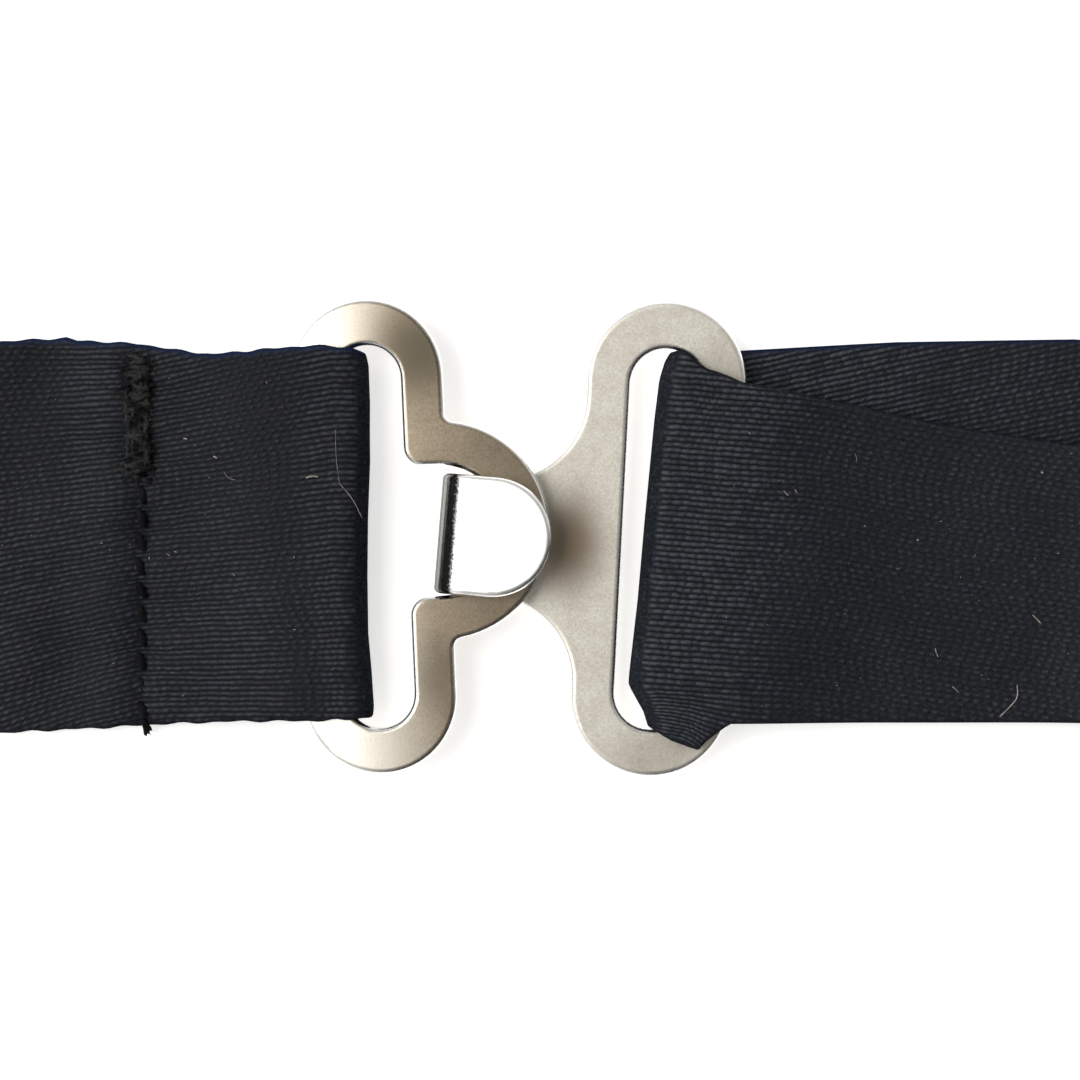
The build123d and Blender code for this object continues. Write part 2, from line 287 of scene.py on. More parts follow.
def satin_cloth(name, cool, warm, gaps, edge_tint, turned_painted_light):
    """Ribbed satin: rows of short floats painted bright as their sheen, dark between, with a tinted
    selvedge.

    cool and warm are the floats' colours, pale as a painted sheen, and gaps the colour between them.
    The mesh carries a painted sheen, how clearly and brightly the rows catch the light, and the
    distance from a tinted selvedge ("selvedge"). Where the cloth turns down the rows fade out, and
    the last argument is the painted brightness there, for how the light falls on the turned-down faces.
    """
    g = Graph(name)
    place = g.node("UVMap", uv_map="weave").outputs[0]
    slow = g.noise(place, 0.16, 2.0)
    wander = g.noise(place, 0.9, 2.0)
    fine = g.noise(place, 6.0, 3.0)
    drawn_out = g.node("VectorMath", {0: place, 1: (1.3, 7.0, 1.0)}, operation="MULTIPLY").outputs[0]
    streak = g.noise(drawn_out, 1.0, 3.0)
    rib, wave, chance = weave_floats(g, place, wander)

    # How much the cloth faces up, and the painted sheen: how clearly its rows catch the light
    normal = g.node("TexCoord").outputs["Normal"]
    upright = g.math("ABSOLUTE", g.node("SeparateXYZ", {0: normal}).outputs["Z"])
    in_light = g.fit(upright, 0.82, 0.955, 0.0, 1.0)
    painted_sheen = g.math("MULTIPLY", g.node("Attribute", attribute_name="painted_sheen").outputs["Fac"], in_light)

    # Painted sheen: brightness where the rows are clear, and where only the floats' high points and
    # streaks show
    depth = g.math("MULTIPLY_ADD", painted_sheen, -0.48, g.fit(slow, 0.35, 0.65, 0.75, 1.0))
    lit = g.math("SUBTRACT", 1.0, g.math("MULTIPLY", depth, g.math("SUBTRACT", 1.0, wave)))
    thread = g.math("MULTIPLY", g.math("MULTIPLY", rib, lit), g.fit(chance, 0.0, 1.0, 0.5, 1.3))
    point = g.math("MULTIPLY", rib, g.math("POWER", wave, 5.0))
    seen = g.math("MULTIPLY", point, g.fit(chance, 0.5, 1.0, 0.0, 0.38))
    plain = g.math("ADD", seen, g.fit(streak, 0.3, 0.7, 0.17, 0.33))
    share = g.math("MULTIPLY", g.math("SUBTRACT", thread, plain), painted_sheen)
    bright = g.math("ADD", plain, share)
    bright = g.math("MULTIPLY", bright, g.fit(slow, 0.3, 0.7, 0.8, 1.15))
    bright = g.math("MULTIPLY", bright, g.fit(fine, 0.3, 0.7, 0.5, 1.5))
    # Painted light: the fold's turned-down faces get their own brightness, for how the light falls on them
    bright = g.math("MULTIPLY", bright, g.math("MULTIPLY_ADD", in_light, 1 - turned_painted_light, turned_painted_light))
    # Painted sheen: brighter where the rows catch the light clearly
    bright = g.math("MULTIPLY", bright, g.math("MULTIPLY_ADD", painted_sheen, 0.3, 0.78))

    # The floats' colours are pale as a painted sheen; the gaps keep the cloth's near-black
    floats = g.ramp(wander, [(0.38, cool), (0.62, warm)])
    colour = g.mix(bright, (*gaps, 1), floats)
    selvedge = g.node("Attribute", attribute_name="selvedge").outputs["Fac"]
    colour = g.mix(g.fit(selvedge, 0.08, 0.4, 1.0, 0.0), colour, (*edge_tint, 1))
    height = g.math("MULTIPLY_ADD", fine, 0.4, g.math("MULTIPLY", thread, in_light))
    bump = g.node("Bump", {"Strength": 1.0, "Distance": 0.07 * MM, "Height": height})
    gloss = g.fit(thread, 0.0, 1.0, 0.7, 0.4)
    shine, sheen = g.math("MULTIPLY", in_light, 0.16), g.math("MULTIPLY", in_light, 0.04)
    g.set(Base_Color=colour, Roughness=gloss, Normal=bump.outputs[0], Specular_IOR_Level=shine)
    g.set(Sheen_Weight=sheen, Sheen_Roughness=0.4, Sheen_Tint=(0.8, 0.85, 1.0, 1))
    return g.material


def sewing_thread(name, dark, pale):
    """Black twisted thread with a dull fuzz, paler in random patches."""
    g = Graph(name)
    place = g.node("TexCoord").outputs["Object"]
    fuzz = g.noise(place, 5000.0, 3.0)
    patch = g.noise(place, 1300.0, 1.0)
    paleness = g.math("MULTIPLY", fuzz, g.fit(patch, 0.35, 0.62, 0.55, 1.2))
    colour = g.ramp(paleness, [(0.3, dark), (0.68, pale)])
    bump = g.node("Bump", {"Strength": 0.6, "Distance": 0.03 * MM, "Height": fuzz})
    g.set(Base_Color=colour, Roughness=0.8, Normal=bump.outputs[0], Specular_IOR_Level=0.15)
    return g.material


def lint_fibre(name):
    """Pale stray fibre."""
    g = Graph(name)
    place = g.node("TexCoord").outputs["Object"]
    patch = g.noise(place, 2500.0, 1.0)
    colour = g.ramp(patch, [(0.3, (0.16, 0.16, 0.14)), (0.7, (0.5, 0.48, 0.42))])
    g.set(Base_Color=colour, Roughness=0.7)
    return g.material


# Colour of the polished rounded edges, near-white as a painted highlight
RIM_COLOUR = (0.93, 0.92, 0.89, 1)
# Colour of the raised tongue, burnished by use and painted near-white as its highlight
WORN_AND_HIGHLIGHT_COLOUR = (0.98, 0.97, 0.95, 1)
ROLL_BANDS = [  # what the polished bend mirrors, from the plate to its outer side
    (0.36, (0.98, 0.97, 0.95)),
    (0.5, (0.02, 0.02, 0.02)),
    (0.64, (0.012, 0.012, 0.012)),
    (0.78, (0.08, 0.08, 0.08)),
    (0.9, (0.15, 0.15, 0.145)),
    (1.0, (0.12, 0.12, 0.12)),
]


def with_dark_spot(g, colour, x, y, dark_spot, spot_colour):
    """A colour with one soft dark spot laid on it, which the metals use mostly as painted shade."""
    across, along, half_width, half_height, depth = dark_spot
    near = g.math("DIVIDE", g.math("SUBTRACT", x, across * MM), half_width * MM)
    beside = g.math("DIVIDE", g.math("SUBTRACT", y, along * MM), half_height * MM)
    squares = g.math("ADD", g.math("MULTIPLY", near, near), g.math("MULTIPLY", beside, beside))
    away = g.math("SQRT", squares)
    fall = {"Value": away, "From Min": 0.0, "From Max": 1.0, "To Min": depth, "To Max": 0.0}
    spot = g.node("MapRange", fall, interpolation_type="SMOOTHERSTEP").outputs[0]
    return g.mix(spot, colour, (*spot_colour, 1))


def banded_roll(g, colour, x, y, grain, roll):
    """A colour with the mirrored bands of the polished bend laid over the bend."""
    middle, radius, lean = roll
    line = g.math("MULTIPLY_ADD", y, lean, middle * MM)
    way_round = g.math("DIVIDE", g.math("SUBTRACT", line, x), radius * MM)
    way_round = g.math("MULTIPLY_ADD", g.math("SUBTRACT", grain, 0.5), 0.5, way_round)
    return g.mix(g.fit(way_round, 0.3, 0.36, 0.0, 1.0), colour, g.ramp(way_round, ROLL_BANDS))


def satin_nickel(
    name, base, roughness, fade=None, crown=None, tongue=None, roll=None,
    dark_spots=(), spot_colour=(0.25, 0.18, 0.12),
):
    """Barrel-finished nickel plate: mottled grain on the flats, polished on the rounded edges, whose
    near-white colour is a painted highlight.

    fade is (x at full, x at none, lean, colour) of an end painted paler as a highlight. crown is (x,
    radius) and bends the stamping a little along X, as seen in its shine. tongue is (height, slope) of a
    part that stands higher, is burnished by use and is painted near-white as its highlight. roll is (x,
    radius, lean) of the bend that leads to it, with the bands it mirrors painted on. Each dark spot is
    (x, y, half width, half height, how dark) of a soft spot of the spot colour, most of them painted
    shade. Lengths are in millimetres.
    """
    g = Graph(name)
    coordinates = g.node("TexCoord")
    place, facing = coordinates.outputs["Object"], coordinates.outputs["Normal"]
    split = g.node("SeparateXYZ", {0: place})
    x, y, z = (split.outputs[axis] for axis in "XYZ")
    upright = g.math("ABSOLUTE", g.node("SeparateXYZ", {0: facing}).outputs["Z"])
    rim = g.fit(upright, 0.8, 0.97, 1.0, 0.0)
    pits = {"Vector": place, "Scale": 8500.0, "Detail": 4.0, "Roughness": 0.7}
    grain = g.node("TexNoise", pits).outputs["Fac"]
    mottle = g.math("MULTIPLY_ADD", grain, 0.75, g.math("MULTIPLY", g.noise(place, 700.0, 2.0), 0.25))
    dark, light = [0.8 * c for c in base], [min(1.0, 1.16 * c) for c in base]
    colour = g.ramp(mottle, [(0.36, dark), (0.64, light)])
    # Painted highlight: the end nearer the light turns paler
    if fade:
        full, none, lean, pale = fade
        place_x = g.math("MULTIPLY_ADD", y, lean, x)
        share = g.fit(place_x, full * MM, none * MM, 1.0, 0.0)
        colour = g.mix(share, colour, (*pale, 1))
    # Soft dark spots, most of them painted shade
    for dark_spot in dark_spots:
        colour = with_dark_spot(g, colour, x, y, dark_spot, spot_colour)
    # The polished rounded edges get a near-white colour, a painted highlight
    colour = g.mix(rim, colour, RIM_COLOUR)
    rough = g.fit(grain, 0.3, 0.7, roughness - 0.05, roughness + 0.07)
    height = g.math("MULTIPLY", grain, 0.006 * MM)
    if crown:
        middle, radius = crown
        away = g.math("SUBTRACT", x, middle * MM)
        curve = g.math("MULTIPLY", g.math("MULTIPLY", away, away), -0.5 / (radius * MM))
        height = g.math("ADD", height, curve)
    if tongue:
        low, slope = tongue
        high = g.fit(z, low * MM, (low + 0.5) * MM, 0.0, 1.0)
        rise = g.math("MULTIPLY", g.math("MULTIPLY", x, slope), high)
        height = g.math("ADD", height, rise)
        # The raised part is burnished and painted near-white as its highlight
        colour = g.mix(high, colour, WORN_AND_HIGHLIGHT_COLOUR)
        rough = g.math("MULTIPLY_ADD", high, -0.14, rough)
    rough = g.math("MULTIPLY_ADD", rim, -0.3, rough)
    if roll:
        colour = banded_roll(g, colour, x, y, grain, roll)
    bump = g.node("Bump", {"Strength": 1.0, "Distance": 1.0, "Height": height})
    g.set(Base_Color=colour, Roughness=rough, Normal=bump.outputs[0], Metallic=1.0)
    return g.material


# ---- meshes ----------------------------------------------------------------------------------


def make_piece(name, points, faces, material, slot):
    """Mesh object from points in millimetres."""
    mesh = bpy.data.meshes.new(name)
    mesh.from_pydata((np.asarray(points) * MM).tolist(), [], faces)
    mesh.materials.append(material)
    mesh.shade_smooth()
    piece = bpy.data.objects.new(name, mesh)
    bpy.context.collection.objects.link(piece)
    return piece


def step_between(low, high, value):
    """0 before low, 1 after high, smooth between."""
    t = np.clip((value - low) / (high - low), 0, 1)
    return t * t * (3 - 2 * t)


def hump(distance, width):
    """1 at no distance, falling away smoothly over a width."""
    return np.exp(-((distance / width) ** 2))


def ripples(height, way, length, x, y, start=0.0):
    """Waves of a height and length that run along way, a direction in X and Y."""
    return height * np.sin(2 * pi * (way[0] * x + way[1] * y) / length + start)


def rounded(points, rounds=3):
    """Open path with its corners cut, as (x, z) rows."""
    points = np.array(points, float)
    for _ in range(rounds):
        before, after = points[:-1], points[1:]
        cut = np.empty((2 * len(before), 2))
        cut[0::2] = 0.75 * before + 0.25 * after
        cut[1::2] = 0.25 * before + 0.75 * after
        points = np.vstack([points[:1], cut, points[-1:]])
    return points


def stations(points):
    """Evenly spaced (x, z) stations along a path, and how far along it each is."""
    reach = np.r_[0, np.cumsum(np.linalg.norm(np.diff(points, axis=0), axis=1))]
    along = np.linspace(0, reach[-1], int(reach[-1] / CLOTH_STEP) + 1)
    return along, np.column_stack([np.interp(along, reach, points[:, axis]) for axis in (0, 1)])


def turn(centre, radius, start, end, lean=0.0, count=12):
    """Points of an arc in the XZ plane, its ends in degrees, turned as a whole by lean in radians."""
    angles = np.radians(np.linspace(start, end, count)) + lean
    return [(centre[0] + radius * cos(a), centre[1] + radius * sin(a)) for a in angles]


def surface_normals(grid):
    """Unit normals of a grid of points."""
    normals = np.cross(np.gradient(grid, axis=0), np.gradient(grid, axis=1))
    return normals / np.linalg.norm(normals, axis=2, keepdims=True)


def sharpen_ends(mesh, rows, columns):
    """Marks the edges of a ribbon's two cut ends as sharp."""
    corners = np.empty(2 * len(mesh.edges), np.int32)
    mesh.edges.foreach_get("vertices", corners)
    row = (corners % (rows * columns) // columns).reshape(-1, 2)
    sharp = (row == 0).all(axis=1) | (row == rows - 1).all(axis=1)
    mesh.attributes.new("sharp_edge", "BOOLEAN", "EDGE").data.foreach_set("value", sharp)


def ribbon_faces(rows, columns):
    """Faces of a closed ribbon whose points are its top grid and then its bottom one."""
    index = np.arange(rows * columns).reshape(rows, columns)
    under = index + rows * columns

    def quads(a, b, c, d):
        return np.stack([a, b, c, d], axis=-1).reshape(-1, 4)

    return np.vstack([
        quads(index[:-1, :-1], index[1:, :-1], index[1:, 1:], index[:-1, 1:]),
        quads(under[:-1, :-1], under[:-1, 1:], under[1:, 1:], under[1:, :-1]),
        quads(index[:-1, 0], under[:-1, 0], under[1:, 0], index[1:, 0]),
        quads(index[:-1, -1], index[1:, -1], under[1:, -1], under[:-1, -1]),
        quads(index[0, :-1], index[0, 1:], under[0, 1:], under[0, :-1]),
        quads(index[-1, :-1], under[-1, :-1], under[-1, 1:], index[-1, 1:]),
    ])


def ribbon(name, path, low, high, shift, relief, half, skew, painted_sheen, tinted, material, start=0.0):
    """Closed strip of cloth along a path.

    low and high are its side edges at each station. shift moves a point along X, relief moves it off
    the surface, half is half its thickness, skew slants the weave, and the sheen argument gives a
    painted sheen, how clearly and brightly its rows catch the light. tinted says at which stations the
    high edge is a tinted selvedge. start is the weave's own place at the first station, so that it
    runs on from one piece to the next.
    """
    along, middle = path
    inner = np.linspace(0.02, 0.98, 76)
    share = np.r_[0, 0.003, 0.009, inner, 0.991, 0.997, 1]  # closer together at the rounded edges
    y = low[:, None] + (high - low)[:, None] * share
    x = middle[:, :1] + 0 * y
    grid = np.stack([x + shift(x, y), y, middle[:, 1:] + 0 * y], axis=2)
    grid = grid + surface_normals(grid) * relief(x, y)[..., None]
    normals = surface_normals(grid)
    edge = np.minimum(y - low[:, None], high[:, None] - y)
    round_off = np.sqrt(1 - (1 - np.clip(edge / EDGE_ROUND, 0, 1)) ** 2)
    depth = (half(x, y) * round_off + THIN_EDGE)[..., None]
    top, bottom = grid + normals * depth, grid - normals * depth
    points = np.vstack([top.reshape(-1, 3), bottom.reshape(-1, 3)])
    points[:, 2] = np.maximum(points[:, 2], TABLE_GAP)

    piece = make_piece(name, points, ribbon_faces(*y.shape).tolist(), material, "black_satin")
    sharpen_ends(piece.data, *y.shape)
    weave = np.stack([start + along[:, None] + 0 * y, y - skew(x, y)], axis=2).reshape(-1, 2)
    corners = np.empty(len(piece.data.loops), np.int32)
    piece.data.loops.foreach_get("vertex_index", corners)
    layer = piece.data.uv_layers.new(name="weave")
    layer.data.foreach_set("uv", np.vstack([weave, weave])[corners].ravel())
    selvedge = np.where(tinted[:, None], high[:, None] - y, NO_SELVEDGE)
    for title, values in (("painted_sheen", painted_sheen(x, y)), ("selvedge", selvedge)):
        attribute = piece.data.attributes.new(title, "FLOAT", "POINT")
        attribute.data.foreach_set("value", np.tile(values.ravel(), 2).astype(np.float32))
    return piece


def side_of(front):
    """1 on the front ply, 0 on the ply behind it, for each station."""
    return np.where(front[:, None], 1.0, 0.0)


def even_thickness(x, y):
    """Half the cloth's thickness, the same everywhere."""
    return HALF_CLOTH + 0 * x


def strand(points, radius, plies=2, twist=3.0, sides=10, taper=0.35):
    """Thread of twisted plies along a line of points, thinner at its ends: its points and faces."""
    near_upright = (0.3, 0.2, 0.93)
    ply_depth = 0.16
    tapered_share = 1 / 8
    points = np.array(points, float)
    count = len(points)
    ahead = np.gradient(points, axis=0)
    ahead /= np.linalg.norm(ahead, axis=1, keepdims=True)
    side = np.cross(ahead, near_upright)
    side /= np.linalg.norm(side, axis=1, keepdims=True)
    up = np.cross(side, ahead)
    share = np.linspace(0, 1, count)[:, None]
    angle = np.linspace(0, 2 * pi, sides, endpoint=False)[None, :]
    ends = np.minimum(1, taper + (1 - taper) * np.minimum(share, 1 - share) / tapered_share)
    girth = radius * ends * (1 + ply_depth * np.cos(plies * angle - 2 * pi * twist * share))
    rings = points[:, None] + side[:, None] * (girth * np.cos(angle))[..., None]
    rings = rings + up[:, None] * (girth * np.sin(angle))[..., None]
    faces = []
    for ring in range(count - 1):
        for number in range(sides):
            a, b = ring * sides + number, ring * sides + (number + 1) % sides
            faces.append((a, b, b + sides, a + sides))
    faces.append(tuple(range(sides))[::-1])
    faces.append(tuple((count - 1) * sides + number for number in range(sides)))
    return rings.reshape(-1, 3), faces


def joined(strands):
    """Several strands as one set of points and faces."""
    points, faces, offset = [], [], 0
    for some_points, some_faces in strands:
        points.append(some_points)
        faces += [tuple(offset + corner for corner in face) for face in some_faces]
        offset += len(some_points)
    return np.vstack(points), faces


# ---- left strap ------------------------------------------------------------------------------


def by_eye_bar(along, above):
    """Point beside the eye's bar, in the ring's tilted plane."""
    c, s = cos(EYE_TILT), sin(EYE_TILT)
    return (EYE_BAR[0] + along * c - above * s, EYE_BAR[2] + along * s + above * c)


def left_strap_path():
    """From the sewn end, under the eye's bar, round it and back over to the strap's far end."""
    turn_middle, turn_start = 1.7, -1.2  # to the right of the bar's middle
    sewn_end = SEAM_X - 1.5
    below = [(sewn_end, PLY), (SEAM_X, PLY), (-18.5, PLY), (-16.0, PLY), (-14.7, 0.34)]
    below += [by_eye_bar(turn_start, -LOOP_RADIUS)]
    round_bar = turn(by_eye_bar(turn_middle, 0), LOOP_RADIUS, -90, 90, EYE_TILT)
    above = [by_eye_bar(turn_start, LOOP_RADIUS)]
    above += [(-14.4, 2.05), (-16.6, 1.5), (-18.6, 1.12), (-20.0, 0.98)]
    seam = [(SEAM_X, 0.8), (-21.8, 0.98), (-22.9, 0.95), (-24.4, 0.5), (-26.2, 0.34)]
    tail = [(-30, 0.32), (-36, PLY), (-44, PLY), (LEFT_END, PLY)]
    return stations(rounded(below + round_bar + above + seam + tail))


# Left strap's edges, as distances to the left of the clasp's middle and half widths
LEFT_TOP_EDGE = (
    [9.0, 9.5, 11.5, 14.6, 17.0, 18.8, 20.9, 23.0, 24.6, 24.75, 28.2, 40.0],
    [9.7, 9.9, 10.0, 9.78, 9.6, 9.8, 10.15, 10.3, 10.38, 10.55, 10.35, 9.9],
)
LEFT_BOTTOM_EDGE = (
    [9.0, 12.0, 15.7, 18.8, 23.0, 28.2, 40.0],
    [9.4, 9.55, 9.6, 9.75, 10.0, 10.3, 9.9],
)
HIDDEN_PLY_EDGES = (-9.2, 9.3)
LEFT_FOLD_LINE = (  # how far the fold is from a straight line, at places across the strap
    [-9.7, -9.3, -7.0, -5.0, -2.0, 1.0, 4.0, 5.5, 7.0, 9.0, 9.6],
    [-0.42, -0.36, -0.41, -0.5, -0.41, -0.25, -0.01, 0.04, 0.115, 0.13, 0.05],
)


def left_shift(x, y):
    """Leans the fold with the eye's bar, and makes it uneven."""
    lean = y * EYE_AXIS[0] * step_between(-20, -13, x)
    return lean + np.interp(y, *LEFT_FOLD_LINE) * step_between(-12, -9.6, x)


def left_relief(x, y, facing):
    """Gathers and puckers at the seam, soft folds beyond it and a slight crown, on the front ply."""
    from_seam = x - SEAM_X
    away = np.abs(from_seam)
    gathers = np.exp(-away / 1.6) * ripples(0.07, (0, 1), STITCH_PITCH, x, y)
    puckers = np.exp(-away / 4.5) * ripples(0.13, (0.35, 1), 3.6, from_seam, y)
    puckers = puckers + np.exp(-away / 6.0) * ripples(0.09, (-0.5, 1), 5.3, from_seam, y, 1.2)
    folds = ripples(0.16, (0.62, 0.75), 9.5, x, y) + ripples(0.08, (-0.9, 0.3), 6.1, x, y)
    folds = folds * step_between(-23, -27, x)
    off_bar = step_between(-11, -14, x)
    crown = 0.1 * off_bar * np.cos(pi * y / STRAP_WIDTH)
    return facing * ((gathers + puckers) * (0.3 + 0.7 * off_bar) + folds + crown)


def left_half(x, y):
    """Half the left strap's thickness, pressed thinner by the seam."""
    return HALF_CLOTH * (1 - 0.35 * hump(x - SEAM_X, 0.5))


def left_skew(x, y, facing):
    """Ribs that are level by the fold, slant as far as the seam and slant more beyond it."""
    straight_until = -10.5
    to_seam = np.clip(x - straight_until, SEAM_X - straight_until, 0)
    beyond_seam = np.minimum(x - SEAM_X, 0)
    return (to_seam * (0.11 + 0.011 * y) + beyond_seam * (0.17 - 0.016 * y)) * facing


def left_painted_sheen(x, y):
    """Painted sheen: rows that catch the light clearly in patches and on the fold, with a slanted band
    beside it and a corner where less sheen is painted.
    """
    patch = 0.5 + ripples(0.5, (0.5, -0.3), 8.0, x, y)
    fold_light = 0.4 * hump(x + 10.9, 0.9)
    less_sheen_band = 0.6 * hump(x + 13.3 + 0.13 * y, 1.5 + 0.06 * y)
    less_sheen_corner = 0.45 * step_between(-24, -26, x) * step_between(-2, 5, y)
    return np.clip(0.68 + 0.3 * patch + fold_light - less_sheen_band - less_sheen_corner, 0, 1)


def left_strap():
    """Left strap, with the puckers that its seam pulls in."""
    path = left_strap_path()
    along, middle = path
    x = middle[:, 0]
    front = along > along[int(np.argmax(x))]
    facing = side_of(front)
    ripple = 0.035 * np.sin(along * 2 * pi / 1.6) + 0.03 * np.sin(along * 2 * pi / 2.7 + 1)
    low = np.where(front, -np.interp(-x, *LEFT_BOTTOM_EDGE), HIDDEN_PLY_EDGES[0]) + ripple
    high = np.where(front, np.interp(-x, *LEFT_TOP_EDGE), HIDDEN_PLY_EDGES[1]) + ripple
    piece = ribbon(
        "left_strap_cloth", path, low, high, left_shift,
        lambda x, y: left_relief(x, y, facing),
        left_half,
        lambda x, y: left_skew(x, y, facing),
        left_painted_sheen, front, MATERIALS["left_satin"],
    )
    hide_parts("eye_strap")
    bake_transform(piece)


# ---- right strap -----------------------------------------------------------------------------


FRONT_LOW_EDGE = (  # lower edge of the front ply, where it lies over the ring and then runs straight
    [5.2, 5.9, 6.5, 7.4, 8.55, 10.4],
    [-9.6, -10.25, -10.6, -10.9, -11.1, -9.72],
)
FRONT_HIGH_EDGE = (  # upper edge of the front ply, which falls away and comes back at the slide
    [5.6, 5.9, 6.3, 6.6, 6.9, 7.6, 8.6, 9.4, 10.1, 10.7, 12.6, 16.7, 21.4, 28.2, 29.6, 34.6],
    [9.72, 9.82, 9.62, 9.4, 9.14, 8.8, 8.65, 8.43, 8.1, 8.0, 7.68, 6.93, 5.88, 4.84, 5.2, 9.5],
)
BACK_LOW_EDGE = -9.4
BACK_HIGH_EDGE = ([6.0, 10.0, 13.6, 18.8, 24.1, 28.2, 36.0], [9.4, 9.85, 10.04, 10.3, 10.39, 10.45, 9.8])
RIGHT_FOLD_LINE = (  # how far the fold is from a straight line, at places across the strap
    [-10.2, -9.0, -7.6, -3.3, 0.9, 6.1, 8.2, 9.6],
    [0.9, 0.65, -0.2, 0.07, 0.22, 0.45, 0.6, 0.95],
)


def right_shift(x, y):
    """Leans the fold with the hook plate's bar, and makes it uneven."""
    lean = y * HOOK_AXIS[0]
    uneven = np.interp(y, *RIGHT_FOLD_LINE) * step_between(9.5, 7.0, x)
    return (lean + uneven) * step_between(18, 10, x)


def right_relief(x, y, facing):
    """Soft waves and a hem along the lower edge, on the front ply."""
    waves = ripples(0.1, (0.3, 0.85), 11.0, x, y) + ripples(0.05, (-0.8, 0.4), 7.3, x, y)
    calm = step_between(10, 15, x) * (1 - step_between(30, 33, x))
    hem = 0.06 * hump(y - np.interp(x, *FRONT_LOW_EDGE) - 0.9, 0.7071)
    return facing * (calm * waves + hem * step_between(9.5, 11, x))


def right_skew(x, y, facing):
    """Ribs near level by the fold, then slanting along the front ply, and fanned at its lower corner."""
    slow = -0.07 * (x - 6) - 0.08 * np.maximum(x - 12, 0) * step_between(12, 20, x)
    fan = 0.14 * np.maximum(-8.0 - y, 0) * np.minimum(x - 10.5, 0)
    return np.where(facing > 0, slow - fan, 0.21 * x)


def right_painted_sheen(x, y, facing):
    """Painted sheen: rows that catch the light clearly by the fold and on the back ply, faintly along the
    front ply.
    """
    fading = 1 - 0.8 * step_between(9.5, 15.5, x - 0.12 * y)
    behind = 1 - 0.45 * step_between(14, 26, x)
    return np.where(facing > 0, fading, behind)


def right_piece(name, path, low, high, front, start):
    """One of the three pieces of the right strap. front tells its front ply's stations."""
    facing = side_of(front)
    return ribbon(
        name, path, low, high, right_shift,
        lambda x, y: right_relief(x, y, facing),
        even_thickness,
        lambda x, y: right_skew(x, y, facing),
        lambda x, y: right_painted_sheen(x, y, facing),
        ~front, MATERIALS["right_satin"], start,
    )


def right_fold():
    """The right strap's loop round the hook plate's bar. Returns its length."""
    slack = 3.733  # from the bar's middle to the fold, which lies loose in the slot
    turn_x = HOOK_BAR[0] - slack + LOOP_RADIUS
    over = HOOK_BAR[2] + LOOP_RADIUS
    below = [(SPLIT_X, PLY), (17.0, PLY), (13.0, PLY), (9.5, PLY), (7.4, PLY)]
    above = [(8.0, over), (10.0, over + 0.02), (11.8, over - 0.1), (14.6, 1.5), (17.0, 1.04)]
    above += [(SPLIT_X, SPLIT_HEIGHT)]
    path = stations(rounded(below + turn((turn_x, HOOK_BAR[2]), LOOP_RADIUS, -90, -270) + above))
    along, middle = path
    x = middle[:, 0]
    front = along > along[int(np.argmin(x))]
    low = np.where(front, np.interp(x, *FRONT_LOW_EDGE), BACK_LOW_EDGE)
    high = np.where(front, np.interp(x, *FRONT_HIGH_EDGE), np.interp(x, *BACK_HIGH_EDGE))
    piece = right_piece("right_strap_fold", path, low, high, front, 0.0)
    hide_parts("hook_strap")
    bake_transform(piece)
    return along[-1]


def right_front_tail(start):
    """The front ply from the split, over the slide's middle bar to the strap's end."""
    over_bar = 3.85
    points = [(SPLIT_X, SPLIT_HEIGHT), (23.0, 0.92), (SLIDE_X - 12.5, SECOND_PLY), (SLIDE_X - 10, 1.62)]
    points += [(SLIDE_X - 4.4, 1.66), (SLIDE_X - 2.1, over_bar), (SLIDE_X + 2.3, over_bar)]
    points += [(SLIDE_X + 4.5, 0.9), (SLIDE_X + 7.4, PLY + 0.02), (SLIDE_X + 10, PLY), (RIGHT_END, PLY)]
    path = stations(rounded(points))
    along, middle = path
    x = middle[:, 0]
    low, high = np.interp(x, *FRONT_LOW_EDGE), np.interp(x, *FRONT_HIGH_EDGE)
    piece = right_piece("right_strap_front", path, low, high, np.ones(len(x), bool), start)
    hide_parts("hook_strap")
    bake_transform(piece)


def right_back_tail():
    """The sewn end, wrapped over the slide's middle bar, and the back ply as far as the split."""
    wrap = 1.45
    wrap_x = SLIDE_X + 0.75
    over = PLY + 2 * wrap
    points = [(SLIDE_X - 9.8, SECOND_PLY), (SLIDE_X - 4.0, SECOND_PLY), (SLIDE_X - 1.3, over)]
    points += [(SLIDE_X - 0.3, over)] + turn((wrap_x, PLY + wrap), wrap, 90, -90)
    points += [(SLIDE_X - 2, PLY), (SLIDE_X - 6, PLY), (26.0, PLY), (SPLIT_X, PLY)]
    path = stations(rounded(points))
    along, middle = path
    x = middle[:, 0]
    low, high = BACK_LOW_EDGE + 0 * x, np.interp(x, *BACK_HIGH_EDGE)
    piece = right_piece("right_strap_back", path, low, high, np.zeros(len(x), bool), -along[-1])
    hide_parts("hook_strap")
    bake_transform(piece)


# ---- thread ----------------------------------------------------------------------------------


def stitch(x, y, z, random):
    """One slanted lockstitch that rises out of the cloth and dips back in."""
    slant = 20 + random.normal(0, 4)
    share = np.linspace(-1, 1, 11)
    run = share * STITCH_LENGTH / 2
    rise = 0.17 * np.cos(share * pi / 2) - 0.18
    across, down = sin(radians(slant)), cos(radians(slant))
    points = [(x + r * across, y - r * down, z + h) for r, h in zip(run, rise)]
    return strand(points, STITCH_RADIUS, plies=2, twist=1.6, sides=12)


